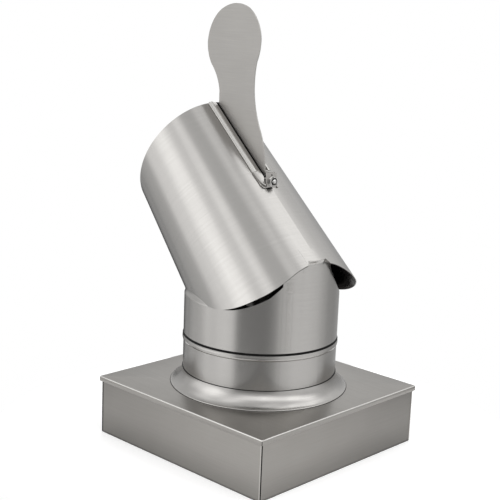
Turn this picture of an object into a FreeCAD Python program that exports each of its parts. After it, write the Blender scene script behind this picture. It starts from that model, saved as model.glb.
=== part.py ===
import FreeCAD, Part
import math
import os

from FreeCAD import Placement, Rotation, Vector

# A wind-directed chimney cowl in stainless sheet. A box cap fits over a square flue tile.
# Its lid carries a stub tube, and the head turns on a spindle inside that tube.
# The origin is on the spindle axis, level with the bottom edge of the box cap. Millimetres, +Z up.

# Sheet and box cap
SHEET = 1.2
SKIRT_SIDE = 294.3
SKIRT_HEIGHT = 77.6
SKIRT_CORNER_R = 2.5
SKIRT_FLANGE = 14.0
LID_GAP = 1.65
LID_LIP = 7.0
LID_CORNER_SLIT = 0.6
SEAT_GAP = 0.05

# Fixed stub tube and storm collar
STUB_R = 101.5
STUB_FLANGE_R = 113.0
SHOULDER_Z = 147.0
BEAD_HEIGHT = 7.0
BEAD_RISE = 1.1
BEAD_FLAT = 3.0
NECK_R = 97.5
NECK_HEIGHT = 8.0
# Flare of the collar in two cones: distance out from the tube, height over the collar's foot
COLLAR_TOP = (1.2, 20.7)
COLLAR_BEND = (5.2, 9.2)
COLLAR_EDGE = (15.95, 1.1)

# Turning sleeve
SLEEVE_R = 101.7
SLEEVE_GAP = 1.0
SLEEVE_TOP = 199.5
SLEEVE_LIP = 8.7
TONGUE_START = 36.0
TONGUE_TIP = 100.0
# Side view of the tongue that rises from the sleeve under the hood: x, height above SLEEVE_TOP
TONGUE_EDGE = [(66.0, 6.3), (84.5, 19.5), (91.5, 32.0), (97.0, 53.5)]

# Slanted hood, a cone that narrows towards its mouth
HEAD_TURN = -7.5
HOOD_TILT = 48.2
HOOD_CROSS_Z = 223.6
HOOD_R = 99.15
HOOD_TAPER = 0.051
HOOD_LENGTH = 206.5
MOUTH_RAKE = 13.5
SCOOP_START = 22.0
SCOOP_REACH = 108.5
# Side view of the scoop edge: x, height above SLEEVE_TOP
SCOOP_EDGE = [(60.0, 6.5), (94.0, 25.9), (105.0, 38.5), (108.5, 52.0)]
PEAK_NOTCH = 35.4

# Vane, a flat plate in the middle plane of the hood
VANE_SHEET = 1.5
VANE_SLOT = 5.0
VANE_FOOT = 11.0
VANE_BACK_X = -105.8
VANE_FRONT_X = -3.6
# Paddle edge as arcs, each a point on the way and an end point: x, height over VANE_DATUM_Z
VANE_START = (-105.8, 106.2)
VANE_ARCS = [
    ((-112.5, 124.2), (-125.0, 139.8)),
    ((-133.2, 155.2), (-135.2, 169.2)),
    ((-125.9, 195.2), (-100.0, 215.6)),
    ((-75.0, 220.9), (-50.0, 216.4)),
    ((-29.5, 198.7), (-21.9, 177.2)),
    ((-23.6, 162.2), (-28.6, 148.2)),
    ((-32.0, 126.2), (-31.2, 104.2)),
    ((-25.3, 80.7), (-15.0, 58.6)),
    ((-6.6, 34.2), (-3.6, 9.2)),
]
INNER_ANGLE_FOOT = 12.0
INNER_ANGLE_LEG = 9.0

# Rail strips along the slot
RAIL_EDGE = 15.0
RAIL_WIDTH = 12.2
RAIL_START = 76.5
RAIL_LUG_GAP = 0.5
HEM_WIDTH = 5.8
HEM_START = 98.0

# Lug and bolt at the lower corner of the vane
LUG_X = 8.6
LUG_SHEET = 2.0
LUG_WIDTH = 16.0
LUG_RISE = 17.1
LUG_PEEP_R = 1.2
LUG_PEEP_DROP = 3.0
BOLT_RISE = 6.4
BOLT_R = 3.0
BOLT_HEAD_ACROSS = 10.0
BOLT_HEAD = 4.0
BOLT_NUT = 5.0
BOLT_END = 1.2
BOLT_WASHER_R = 6.2
BOLT_WASHER = 1.2
BOLT_CLEARANCE = 0.4
KEYHOLE_R = 7.2
EAR_STRIP = 5.0
EAR_WIDTH = 14.0

# Spindle, its bridge in the stub tube and the bearing hub in the head
BAR_WIDTH = 20.0
BAR_THICK = 4.0
BAR_FOOT = 16.0
BRIDGE_Z = 104.0
SPINDLE_R = 6.0
SPINDLE_TAIL = 4.0
NUT_ACROSS = 18.0
NUT_HEIGHT = 10.0
NUT_FLANGE_R = 12.0
NUT_FLANGE = 1.5
THRUST_R = 11.0
THRUST = 2.5
RUNNING_GAP = 0.05
END_PLAY = 0.2
BUSH_WALL = 3.0
BUSH_LENGTH = 18.0
BUSH_FLANGE = 2.0
HUB_WALL = 3.5
BAR_PAD = 8.0
BAR_END = 6.0
HUB_LENGTH = 80.0
LOWER_BAR_Z = 159.0
UPPER_BAR_Z = 180.0

# How far cutting tools reach past what they cut
CUT_SPARE = 3.0
FAR = 600.0

# Worked out from the values above
LID_SIDE = SKIRT_SIDE + 2 * (SHEET + LID_GAP)
LID_TOP = SKIRT_HEIGHT + SHEET
HOOD_TURN = Rotation(Vector(0, 1, 0), -HOOD_TILT)
HOOD_PLACE = Placement(Vector(0, 0, HOOD_CROSS_Z), HOOD_TURN)
RIDGE_ANGLE = math.degrees(math.atan(HOOD_TAPER))
RIDGE_PLACE = HOOD_PLACE.multiply(Placement(Vector(HOOD_R, 0, 0), Rotation(Vector(0, 1, 0), -RIDGE_ANGLE)))
HEAD_PLACE = Placement(Vector(0, 0, 0), Rotation(Vector(0, 0, 1), HEAD_TURN))
CONE_LOW = -1.2 * HOOD_R
CONE_HIGH = HOOD_LENGTH + 0.6 * HOOD_R


def ridge_x_to_along(x):
    """Distance along the hood's ridge from its frame's origin to the place that has this x."""
    origin = RIDGE_PLACE.Base
    along = RIDGE_PLACE.Rotation.multVec(Vector(0, 0, 1))
    return (x - origin.x) / along.x


def ridge_z(x):
    """Height of the hood's ridge line at this x."""
    along = RIDGE_PLACE.Rotation.multVec(Vector(0, 0, 1))
    return RIDGE_PLACE.Base.z + ridge_x_to_along(x) * along.z


VANE_DATUM_Z = ridge_z(0)
LUG_TOP = ridge_z(LUG_X) + LUG_RISE
BOLT_Z = ridge_z(LUG_X) + BOLT_RISE


def save(name, shape):
    shape.exportStep("parts/" + name + ".step")


def save_head(name, shape):
    """Write a piece of the head, turned to where the head stands."""
    turned = shape.copy()
    turned.Placement = HEAD_PLACE.multiply(turned.Placement)
    save(name, turned)


def rod(radius, bottom, top):
    return Part.makeCylinder(radius, top - bottom, Vector(0, 0, bottom))


def tube(outer, inner, bottom, top):
    return rod(outer, bottom, top).cut(rod(inner, bottom - CUT_SPARE, top + CUT_SPARE))


def block(x_low, x_high, y_low, y_high, z_low, z_high):
    return Part.makeBox(x_high - x_low, y_high - y_low, z_high - z_low, Vector(x_low, y_low, z_low))


def hexagon(across, bottom, top):
    corner = Vector(across / math.sqrt(3), 0, bottom)
    turns = [Rotation(Vector(0, 0, 1), 60 * i) for i in range(7)]
    outline = Part.makePolygon([turn.multVec(corner) for turn in turns])
    return Part.Face(outline).extrude(Vector(0, 0, top - bottom))


def lines_and_arcs(start, steps):
    """Closed wire in the XZ plane. A step is an end point, or a way point and an end point for an arc."""
    edges = []
    here = Vector(start[0], 0, start[1])
    for step in steps + [start]:
        if isinstance(step[0], tuple):
            way = Vector(step[0][0], 0, step[0][1])
            end = Vector(step[1][0], 0, step[1][1])
            edges.append(Part.Arc(here, way, end).toShape())
        else:
            end = Vector(step[0], 0, step[1])
            edges.append(Part.LineSegment(here, end).toShape())
        here = end
    return Part.Wire(edges)


def side_plate(start, steps, y_low, y_high):
    """Plate with the given outline in the XZ plane, from y_low to y_high."""
    face = Part.Face(lines_and_arcs(start, steps))
    face.translate(Vector(0, y_low, 0))
    return face.extrude(Vector(0, y_high - y_low, 0))


def revolved(start, steps):
    return Part.Face(lines_and_arcs(start, steps)).revolve(Vector(0, 0, 0), Vector(0, 0, 1), 360)


def square_pan(side, corner_r, bottom, top):
    """Square block with rounded upright edges."""
    half = side / 2.0
    solid = block(-half, half, -half, half, bottom, top)
    if corner_r <= 0:
        return solid
    upright = [e for e in solid.Edges if abs(e.Vertexes[0].Z - e.Vertexes[-1].Z) > 1e-6]
    return solid.makeFillet(corner_r, upright)


# Box cap

def base_skirt():
    """Folded sheet box, open below, with a flange turned in under the lid."""
    outer = square_pan(SKIRT_SIDE, SKIRT_CORNER_R, 0, SKIRT_HEIGHT)
    inner = square_pan(SKIRT_SIDE - 2 * SHEET, SKIRT_CORNER_R - SHEET, -CUT_SPARE, SKIRT_HEIGHT - SHEET)
    opening = square_pan(SKIRT_SIDE - 2 * SKIRT_FLANGE, 0, 0, SKIRT_HEIGHT + CUT_SPARE)
    return outer.cut(inner).cut(opening)


def lid_plate():
    """Flat plate with its four edges folded down, slit at the corners, and a hole for the stub tube."""
    half = LID_SIDE / 2.0
    lip_bottom = LID_TOP - LID_LIP
    plate = square_pan(LID_SIDE, 0, lip_bottom, LID_TOP)
    plate = plate.cut(square_pan(LID_SIDE - 2 * SHEET, 0, lip_bottom - CUT_SPARE, SKIRT_HEIGHT))
    plate = plate.cut(rod(STUB_R + SEAT_GAP, SKIRT_HEIGHT - CUT_SPARE, LID_TOP + CUT_SPARE))
    corner = half * math.sqrt(2)
    slit_half = LID_CORNER_SLIT / 2
    for turn in range(4):
        slit = block(corner - CUT_SPARE, corner + CUT_SPARE, -slit_half, slit_half, lip_bottom, SKIRT_HEIGHT)
        slit.rotate(Vector(0, 0, 0), Vector(0, 0, 1), 45 + 90 * turn)
        plate = plate.cut(slit)
    return plate


def stub_tube():
    """Tube with a flange under the lid, a rolled bead, and a neck that the turning sleeve runs over."""
    foot = SKIRT_HEIGHT - SEAT_GAP
    bead_low = SHOULDER_Z - BEAD_HEIGHT
    neck_top = SHOULDER_Z + NECK_HEIGHT
    inner = STUB_R - SHEET
    bead_slope = (BEAD_HEIGHT - BEAD_FLAT) / 2
    start = (inner, foot - SHEET)
    steps = [
        (STUB_FLANGE_R, foot - SHEET),
        (STUB_FLANGE_R, foot),
        (STUB_R, foot),
        (STUB_R, bead_low),
        (STUB_R + BEAD_RISE, bead_low + bead_slope),
        (STUB_R + BEAD_RISE, SHOULDER_Z - bead_slope),
        (STUB_R, SHOULDER_Z),
        (NECK_R, SHOULDER_Z),
        (NECK_R, neck_top),
        (NECK_R - SHEET, neck_top),
        (NECK_R - SHEET, SHOULDER_Z - SHEET),
        (inner, SHOULDER_Z - SHEET),
    ]
    return revolved(start, steps)


def storm_collar():
    """Flared ring that sheds rain from the foot of the stub tube onto the lid."""
    foot = LID_TOP + SEAT_GAP
    inner = STUB_R + SEAT_GAP
    top, bend, edge = [(inner + out, foot + up) for out, up in (COLLAR_TOP, COLLAR_BEND, COLLAR_EDGE)]
    under_bend = (bend[0] - SHEET, bend[1] - SHEET)
    return revolved((inner, top[1]), [top, bend, edge, (edge[0], foot), (edge[0] - SHEET, foot), under_bend])


# Shapes that cut the sleeve and the hood, all in the middle plane y = 0

def below_tongue_edge():
    """Everything of the sleeve that stays: below its level top, and under the tongue's edge at +X."""
    edge = [(x, SLEEVE_TOP + rise) for x, rise in TONGUE_EDGE]
    start = (-FAR, SLEEVE_TOP)
    steps = [
        (TONGUE_START, SLEEVE_TOP),
        (edge[0], edge[1]),
        (edge[2], edge[3]),
        (TONGUE_TIP, HOOD_CROSS_Z + HOOD_R / 2),
        (TONGUE_TIP, FAR),
        (FAR, FAR),
        (FAR, -FAR),
        (-FAR, -FAR),
    ]
    return side_plate(start, steps, -FAR, FAR)


def above_scoop_edge():
    """Everything of the hood that stays: above the level seam, and behind the scoop's edge at +X."""
    edge = [(x, SLEEVE_TOP + rise) for x, rise in SCOOP_EDGE]
    start = (-FAR, 0)
    steps = [
        (-SCOOP_START, 0),
        (-SCOOP_START, SLEEVE_TOP + SEAT_GAP),
        (SCOOP_START, SLEEVE_TOP + SEAT_GAP),
        (edge[0], edge[1]),
        (edge[2], edge[3]),
        (SCOOP_REACH, FAR),
        (-FAR, FAR),
    ]
    return side_plate(start, steps, -FAR, FAR)


def hood_cone(wall, low, high):
    """Solid cone along the hood's axis, wall deep under its outer surface."""
    bottom_r = HOOD_R - HOOD_TAPER * low - wall
    top_r = HOOD_R - HOOD_TAPER * high - wall
    cone = Part.makeCone(bottom_r, top_r, high - low, Vector(0, 0, low))
    cone.Placement = HOOD_PLACE
    return cone


def beyond_mouth(extra):
    """Everything past the raked plane of the hood's mouth."""
    half = FAR / 2
    past = block(-half, half, -half, half, extra, FAR)
    lean = Placement(Vector(0, 0, HOOD_LENGTH), Rotation(Vector(0, 1, 0), -MOUTH_RAKE))
    past.Placement = HOOD_PLACE.multiply(lean)
    return past


# Turning head

def sleeve():
    """Short tube with a lip turned in at its top and one tall tongue that meets the hood's ridge."""
    bottom = SHOULDER_Z + SLEEVE_GAP
    inner = SLEEVE_R - SHEET
    wall = tube(SLEEVE_R, inner, bottom, HOOD_CROSS_Z + HOOD_R).common(below_tongue_edge())
    under_hood = hood_cone(SHEET + SEAT_GAP, 2 * CONE_LOW, CONE_HIGH)
    wall = wall.common(under_hood.fuse(rod(2 * SLEEVE_R, 0, SLEEVE_TOP)))
    lip = tube(SLEEVE_R - SHEET / 2, SLEEVE_R - SLEEVE_LIP, SLEEVE_TOP - SHEET, SLEEVE_TOP)
    lip = lip.common(block(-FAR, TONGUE_START, -FAR, FAR, 0, FAR))
    return wall.fuse(lip).removeSplitter()


def hood():
    """Slanted tube: raked mouth, scoop edge over the tongue, seam on the sleeve, slot for the vane."""
    hollow = hood_cone(SHEET, CONE_LOW - CUT_SPARE, CONE_HIGH + CUT_SPARE)
    shell = hood_cone(0, CONE_LOW, CONE_HIGH).cut(hollow)
    shell = shell.cut(beyond_mouth(0)).common(above_scoop_edge())
    shell = shell.cut(rod(SLEEVE_R + SEAT_GAP, 0, SLEEVE_TOP))
    notch = block(0, FAR, -PEAK_NOTCH / 2, PEAK_NOTCH / 2, SLEEVE_TOP, FAR)
    shell = shell.cut(notch.cut(rod(SLEEVE_R, 0, 2 * FAR)))
    deep = SHEET + CUT_SPARE
    slot = block(-deep, CUT_SPARE, -VANE_SLOT / 2, VANE_SLOT / 2, ridge_x_to_along(VANE_FRONT_X), FAR)
    keyhole_at = Vector(-deep, 0, ridge_x_to_along(LUG_X - KEYHOLE_R))
    keyhole = Part.makeCylinder(KEYHOLE_R, deep + CUT_SPARE, keyhole_at, Vector(1, 0, 0))
    for cut in (slot, keyhole):
        cut.Placement = RIDGE_PLACE.multiply(cut.Placement)
        shell = shell.cut(cut)
    return shell


def rail(side):
    """Strip beside the slot, its outer edge folded over as a hem. side is -1 or +1, its side of the vane."""
    fold = 2 * SHEET
    hem_steps = [(HEM_WIDTH, fold), (SHEET, fold), ((0, SHEET), (SHEET, 0))]
    ridge_length = (HOOD_LENGTH + HOOD_R) / math.cos(math.radians(RIDGE_ANGLE))
    hem = side_plate((HEM_WIDTH, 0), hem_steps, HEM_START, ridge_length)
    flat = block(0, RAIL_WIDTH, RAIL_START, HEM_START, 0, SHEET)
    inside = block(SHEET, RAIL_WIDTH, RAIL_START, ridge_length, 0, SHEET)
    nose = Part.makeCylinder(RAIL_WIDTH / 2, SHEET, Vector(RAIL_WIDTH / 2, RAIL_START, 0))
    strip = flat.fuse([inside, hem, nose]).removeSplitter()
    beside_lug = RAIL_EDGE - LUG_WIDTH / 2 - RAIL_LUG_GAP
    keyhole_end = ridge_x_to_along(LUG_X - KEYHOLE_R) + KEYHOLE_R
    strip = strip.cut(block(beside_lug, FAR, 0, keyhole_end, -CUT_SPARE, CUT_SPARE))
    # the strip so far runs along +Y, with its outer edge at X = 0 and its hem raised along +Z
    strip.rotate(Vector(0, 0, 0), Vector(1, 1, 1), 120)
    middle = RAIL_EDGE - RAIL_WIDTH / 2
    slope = math.degrees(math.asin(middle / HOOD_R))
    seat = HOOD_R - math.sqrt(HOOD_R ** 2 - middle ** 2)
    strip.translate(Vector(0, -RAIL_WIDTH / 2, 0))
    strip.rotate(Vector(0, 0, 0), Vector(0, 0, 1), -slope)
    strip.translate(Vector(2 * SEAT_GAP - seat, -middle, 0))
    if side > 0:
        strip = strip.mirror(Vector(0, 0, 0), Vector(0, 1, 0))
    strip.Placement = RIDGE_PLACE.multiply(strip.Placement)
    return strip.cut(beyond_mouth(-SHEET))


def raised(step):
    """Lift an outline point, or an arc's two points, from its height over VANE_DATUM_Z to its z."""
    if isinstance(step[0], tuple):
        return tuple(raised(point) for point in step)
    return (step[0], step[1] + VANE_DATUM_Z)


def vane():
    """Paddle plate, its foot inside the slot and a small ear plate across its lower corner."""
    half = VANE_SHEET / 2
    paddle = [raised(point) for point in VANE_ARCS]
    plate = side_plate((VANE_BACK_X, 0), [raised(VANE_START)] + paddle + [(VANE_FRONT_X, 0)], -half, half)
    under_foot = block(-FAR, -VANE_FOOT, -FAR, FAR, -FAR, FAR)
    under_foot.Placement = RIDGE_PLACE
    over_mouth = beyond_mouth(-SHEET).common(block(-FAR, FAR, -FAR, FAR, 0, ridge_z(VANE_BACK_X)))
    plate = plate.cut(under_foot).cut(over_mouth)
    strip_low = BOLT_Z + BOLT_HEAD_ACROSS / math.sqrt(3) + BOLT_CLEARANCE
    strip_top = strip_low + EAR_STRIP
    ear_front = LUG_X - SEAT_GAP
    strip = block(VANE_FRONT_X - VANE_SHEET, ear_front, -half, half, strip_low, strip_top)
    ear = block(ear_front - VANE_SHEET, ear_front, -EAR_WIDTH / 2, EAR_WIDTH / 2, HOOD_CROSS_Z, strip_top)
    ear = ear.cut(hood_cone(-2 * SEAT_GAP, CONE_LOW, CONE_HIGH)).cut(bolt_hole())
    return plate.fuse([strip, ear]).removeSplitter()


def vane_inner_angle():
    """Angle strip inside the hood that ties the foot of the vane to the hood."""
    foot_low = VANE_SHEET / 2 + SEAT_GAP
    start_at = ridge_x_to_along(VANE_FRONT_X - 2 * KEYHOLE_R)
    end_at = ridge_x_to_along(VANE_BACK_X) - 2 * KEYHOLE_R
    sag = (foot_low + INNER_ANGLE_FOOT) ** 2 / (2 * (HOOD_R - HOOD_TAPER * end_at - SHEET))
    top = -SHEET - sag - SEAT_GAP
    foot = block(top - SHEET, top, foot_low, foot_low + INNER_ANGLE_FOOT, start_at, end_at)
    leg = block(top - INNER_ANGLE_LEG, top, foot_low, foot_low + SHEET, start_at, end_at)
    angle = foot.fuse(leg).removeSplitter()
    angle.Placement = RIDGE_PLACE
    return angle


def bolt_hole():
    return Part.makeCylinder(BOLT_R + BOLT_CLEARANCE, 4 * LUG_X, Vector(-LUG_X, 0, BOLT_Z), Vector(1, 0, 0))


def vane_lug():
    """Small upright plate welded on the hood's ridge, to which the vane's ear is bolted."""
    plate = block(LUG_X, LUG_X + LUG_SHEET, -LUG_WIDTH / 2, LUG_WIDTH / 2, HOOD_CROSS_Z, LUG_TOP)
    peep_at = Vector(LUG_X - CUT_SPARE, 0, LUG_TOP - LUG_PEEP_DROP)
    peep = Part.makeCylinder(LUG_PEEP_R, LUG_SHEET + 2 * CUT_SPARE, peep_at, Vector(1, 0, 0))
    return plate.cut(hood_cone(-SEAT_GAP, CONE_LOW, CONE_HIGH)).cut(bolt_hole()).cut(peep)


def along_bolt(shape):
    """Turn a piece made along +Z to lie along +X on the bolt's axis."""
    shape.rotate(Vector(0, 0, 0), Vector(0, 1, 0), 90)
    shape.translate(Vector(0, 0, BOLT_Z))
    return shape


def vane_bolt_pieces():
    """Bolt, nut and washer that hold the vane's ear on the lug."""
    washer_low = LUG_X + LUG_SHEET
    head = washer_low + BOLT_WASHER
    nut = LUG_X - SEAT_GAP - VANE_SHEET - BOLT_NUT
    shank = rod(BOLT_R, nut - BOLT_END, head + BOLT_HEAD / 2)
    bore = rod(BOLT_R + SEAT_GAP, nut - BOLT_END, head)
    bolt = hexagon(BOLT_HEAD_ACROSS, head, head + BOLT_HEAD).fuse(shank).removeSplitter()
    washer = rod(BOLT_WASHER_R, washer_low, head).cut(bore)
    nut_solid = hexagon(BOLT_HEAD_ACROSS, nut, nut + BOLT_NUT).cut(bore)
    return along_bolt(bolt), along_bolt(nut_solid), along_bolt(washer)


# Spindle and bearing

def cross_bar(inner_r, bottom, bore, feet):
    """Flat bar across a tube, its ends folded up (feet +1) or down (feet -1) against the wall."""
    reach = inner_r - SEAT_GAP
    half = BAR_WIDTH / 2
    top = bottom + BAR_THICK
    bar = block(-reach, reach, -half, half, bottom, top)
    low, high = (bottom, bottom + BAR_FOOT) if feet > 0 else (top - BAR_FOOT, top)
    inside = reach - BAR_END
    ends = block(-reach, reach, -half, half, low, high)
    ends = ends.cut(block(-inside, inside, -BAR_WIDTH, BAR_WIDTH, low - CUT_SPARE, high + CUT_SPARE))
    pad = rod(bore + BAR_PAD, bottom, top)
    bar = bar.fuse([ends, pad]).common(rod(reach, low, high)).removeSplitter()
    return bar.cut(rod(bore, bottom - CUT_SPARE, top + CUT_SPARE))


BRIDGE_TOP = BRIDGE_Z + BAR_THICK
THRUST_Z = BRIDGE_TOP + NUT_HEIGHT
BUSH_LOW_Z = THRUST_Z + THRUST + END_PLAY
HUB_Z = BUSH_LOW_Z + BUSH_FLANGE
HUB_TOP = HUB_Z + HUB_LENGTH
BUSH_BORE = SPINDLE_R + RUNNING_GAP
BUSH_R = BUSH_BORE + BUSH_WALL
HUB_BORE = BUSH_R + SEAT_GAP
HUB_R = HUB_BORE + HUB_WALL
LOCK_NUT_Z = HUB_TOP + BUSH_FLANGE + END_PLAY
SPINDLE_TOP = LOCK_NUT_Z + NUT_HEIGHT + SPINDLE_TAIL
SPINDLE_FOOT = BRIDGE_Z - NUT_HEIGHT - SPINDLE_TAIL
SPINDLE_HOLE = rod(SPINDLE_R + SEAT_GAP, SPINDLE_FOOT, SPINDLE_TOP)


def flange_nut(bottom, flange_bottom):
    """Hexagon nut with a round flange on its bearing side."""
    hexagon_part = hexagon(NUT_ACROSS, bottom, bottom + NUT_HEIGHT)
    flange = rod(NUT_FLANGE_R, flange_bottom, flange_bottom + NUT_FLANGE)
    return hexagon_part.fuse(flange).removeSplitter().cut(SPINDLE_HOLE)


def bush(flange_bottom, body_bottom):
    body = rod(BUSH_R, body_bottom, body_bottom + BUSH_LENGTH)
    flange = rod(HUB_R, flange_bottom, flange_bottom + BUSH_FLANGE)
    return body.fuse(flange).removeSplitter().cut(rod(BUSH_BORE, SPINDLE_FOOT, SPINDLE_TOP))


def turned_bar(bar):
    bar.rotate(Vector(0, 0, 0), Vector(0, 0, 1), 90)
    return bar


os.makedirs("parts", exist_ok=True)

save("base_skirt", base_skirt())
save("lid_plate", lid_plate())
save("stub_tube", stub_tube())
save("storm_collar", storm_collar())

save("spindle_bridge", cross_bar(STUB_R - SHEET, BRIDGE_Z, SPINDLE_R + SEAT_GAP, -1))
save("spindle", rod(SPINDLE_R, SPINDLE_FOOT, SPINDLE_TOP))
save("spindle_lower_nut", flange_nut(BRIDGE_Z - NUT_HEIGHT, BRIDGE_Z - NUT_FLANGE))
save("spindle_upper_nut", flange_nut(BRIDGE_TOP, BRIDGE_TOP))
save("thrust_ring", rod(THRUST_R, THRUST_Z, THRUST_Z + THRUST).cut(SPINDLE_HOLE))
save("top_lock_nut", flange_nut(LOCK_NUT_Z, LOCK_NUT_Z))

save_head("hub_tube", tube(HUB_R, HUB_BORE, HUB_Z, HUB_TOP))
save_head("lower_bush", bush(BUSH_LOW_Z, HUB_Z))
save_head("upper_bush", bush(HUB_TOP, HUB_TOP - BUSH_LENGTH))
save_head("lower_hub_bar", turned_bar(cross_bar(SLEEVE_R - SHEET, LOWER_BAR_Z, HUB_R + SEAT_GAP, 1)))
save_head("upper_hub_bar", cross_bar(SLEEVE_R - SHEET, UPPER_BAR_Z, HUB_R + SEAT_GAP, 1))
save_head("sleeve", sleeve())
save_head("hood", hood())
save_head("vane", vane())
save_head("vane_inner_angle", vane_inner_angle())
save_head("near_rail", rail(-1))
save_head("far_rail", rail(1))
save_head("vane_lug", vane_lug())

bolt_solid, nut_solid, washer_solid = vane_bolt_pieces()
save_head("vane_bolt", bolt_solid)
save_head("vane_bolt_nut", nut_solid)
save_head("vane_bolt_washer", washer_solid)
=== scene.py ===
import math

import bmesh
import bpy
from mathutils import Matrix, Vector


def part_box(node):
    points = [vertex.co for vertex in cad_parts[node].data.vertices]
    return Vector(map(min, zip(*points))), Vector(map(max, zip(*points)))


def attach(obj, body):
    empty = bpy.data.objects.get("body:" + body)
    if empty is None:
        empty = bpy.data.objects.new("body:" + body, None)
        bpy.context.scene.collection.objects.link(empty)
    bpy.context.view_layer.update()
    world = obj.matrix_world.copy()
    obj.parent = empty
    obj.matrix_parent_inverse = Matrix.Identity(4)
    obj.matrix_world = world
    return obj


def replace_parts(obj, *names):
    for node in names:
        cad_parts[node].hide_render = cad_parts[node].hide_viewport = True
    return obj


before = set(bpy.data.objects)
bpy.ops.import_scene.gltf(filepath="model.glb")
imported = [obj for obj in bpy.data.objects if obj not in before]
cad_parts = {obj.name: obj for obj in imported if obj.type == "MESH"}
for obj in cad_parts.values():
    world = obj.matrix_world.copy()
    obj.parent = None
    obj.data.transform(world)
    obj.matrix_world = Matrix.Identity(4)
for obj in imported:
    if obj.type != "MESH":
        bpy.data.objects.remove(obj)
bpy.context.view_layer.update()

MM = 0.001

# The head's lie: its turn about the spindle, and the hood's lean and seat on the sleeve
HEAD_TURN = math.radians(-7.5)
HOOD_TILT = math.radians(48.2)
HOOD_CROSS_Z = 223.6 * MM
HOOD_TURN = Matrix.Rotation(HEAD_TURN, 3, "Z") @ Matrix.Rotation(-HOOD_TILT, 3, "Y")
HOOD_AXIS = HOOD_TURN @ Vector((0.0, 0.0, 1.0))

# The sheet tubes: outer radii, the hood's taper, thickness, heights of the sleeve's ends and of the bead
HOOD_R = 99.15 * MM
HOOD_TAPER = 0.051
TUBE_R = 101.5 * MM
SLEEVE_R = 101.7 * MM
SHEET = 1.2 * MM
SLEEVE_TOP = 199.5 * MM
SLEEVE_FOOT = 148.0 * MM
BEAD_TOP = 147.0 * MM

# Sizes read from the frame
LID_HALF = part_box("lid_plate")[1].x
LID_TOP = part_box("lid_plate")[1].z
LID_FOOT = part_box("lid_plate")[0].z
COLLAR_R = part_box("storm_collar")[1].x
COLLAR_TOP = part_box("storm_collar")[1].z
COLLAR_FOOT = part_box("storm_collar")[0].z
SKIRT_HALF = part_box("base_skirt")[1].x

# Clearance of collar and lid round the tube, and how deep most added strips are sunk into what they lie on
SEAT = 0.05 * MM
SUNK = 0.3 * MM

# Finishes, linear colours
BOX_STEEL = (0.292, 0.281, 0.265, 1.0)
BOX_STEEL_DARK = (0.274, 0.263, 0.248, 1.0)
# Bright steel painted on the lid's rolled edges, as a highlight
EDGE_HIGHLIGHT_STEEL = (0.600, 0.590, 0.570, 1.0)
# Brighter steel painted on the corner laps, as a highlight
LAP_HIGHLIGHT_STEEL = (0.420, 0.408, 0.388, 1.0)
# Near black painted on strips laid in gaps and seams, as the shade in them
GAP_SHADE_BLACK = (0.012, 0.012, 0.012, 1.0)
TUBE_STEEL = (0.430, 0.420, 0.405, 1.0)
TUBE_STEEL_DARK = (0.382, 0.373, 0.360, 1.0)
# Near black painted on the insides of the sheet tubes, as their shade
PAINTED_INSIDE_SHADE = (0.080, 0.076, 0.072, 1.0)
# Bright steel painted on the rails' hems, as a highlight
RAIL_HIGHLIGHT_STEEL = (0.620, 0.610, 0.590, 1.0)
RAIL_HIGHLIGHT_STEEL_DARK = (0.550, 0.540, 0.520, 1.0)
VANE_STEEL = (0.400, 0.388, 0.372, 1.0)
VANE_STEEL_DARK = (0.370, 0.359, 0.344, 1.0)
BAR_STEEL = (0.400, 0.397, 0.388, 1.0)
BAR_STEEL_DARK = (0.340, 0.337, 0.328, 1.0)
BOLT_STEEL = (0.600, 0.595, 0.585, 1.0)
BOLT_STEEL_DARK = (0.480, 0.475, 0.465, 1.0)
BRONZE = (0.450, 0.280, 0.130, 1.0)
BRONZE_DARK = (0.330, 0.200, 0.090, 1.0)

# Grain of the brushed sheet: share of the soft bands, noise from dark to light, its roughness, scratch depth
BAND_SHARE = 0.35
NOISE_RANGE = (0.32, 0.68)
NOISE_ROUGHNESS = 0.6
SCRATCH_DEPTH = 0.03 * MM
TUBE_GRAIN = {"scratch_pitch": 2400.0, "roughness_low": 0.19, "roughness_high": 0.25, "relief": 0.05}
LONG_STREAKS = {"band_pitch": 80.0, "band_run": 2.0}


# Node helpers

def add_node(tree, kind, **settings):
    node = tree.nodes.new(kind)
    for name, value in settings.items():
        setattr(node, name, value)
    return node


def link(tree, source, target):
    tree.links.new(source, target)


def add_math(tree, operation, *values):
    """Math node on sockets or numbers."""
    node = add_node(tree, "ShaderNodeMath", operation=operation)
    for socket, value in zip(node.inputs, values):
        if isinstance(value, bpy.types.NodeSocket):
            link(tree, value, socket)
        else:
            socket.default_value = value
    return node.outputs["Value"]


def group_sockets(group, inputs, outputs):
    for name, kind, default in inputs:
        socket = group.interface.new_socket(name=name, in_out="INPUT", socket_type=kind)
        if default is not None:
            socket.default_value = default
    for name, kind in outputs:
        group.interface.new_socket(name=name, in_out="OUTPUT", socket_type=kind)


def stretched_noise(group, vector, across, along, detail):
    """Noise of the vector scaled by across in X and Y and by along in Z."""
    stretch = add_node(group, "ShaderNodeCombineXYZ")
    link(group, across, stretch.inputs["X"])
    link(group, across, stretch.inputs["Y"])
    link(group, along, stretch.inputs["Z"])
    scaled = add_node(group, "ShaderNodeVectorMath", operation="MULTIPLY")
    link(group, vector, scaled.inputs[0])
    link(group, stretch.outputs["Vector"], scaled.inputs[1])
    noise = add_node(group, "ShaderNodeTexNoise")
    noise.inputs["Scale"].default_value = 1.0
    noise.inputs["Detail"].default_value = detail
    noise.inputs["Roughness"].default_value = NOISE_ROUGHNESS
    link(group, scaled.outputs["Vector"], noise.inputs["Vector"])
    return noise.outputs["Fac"]


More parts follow.
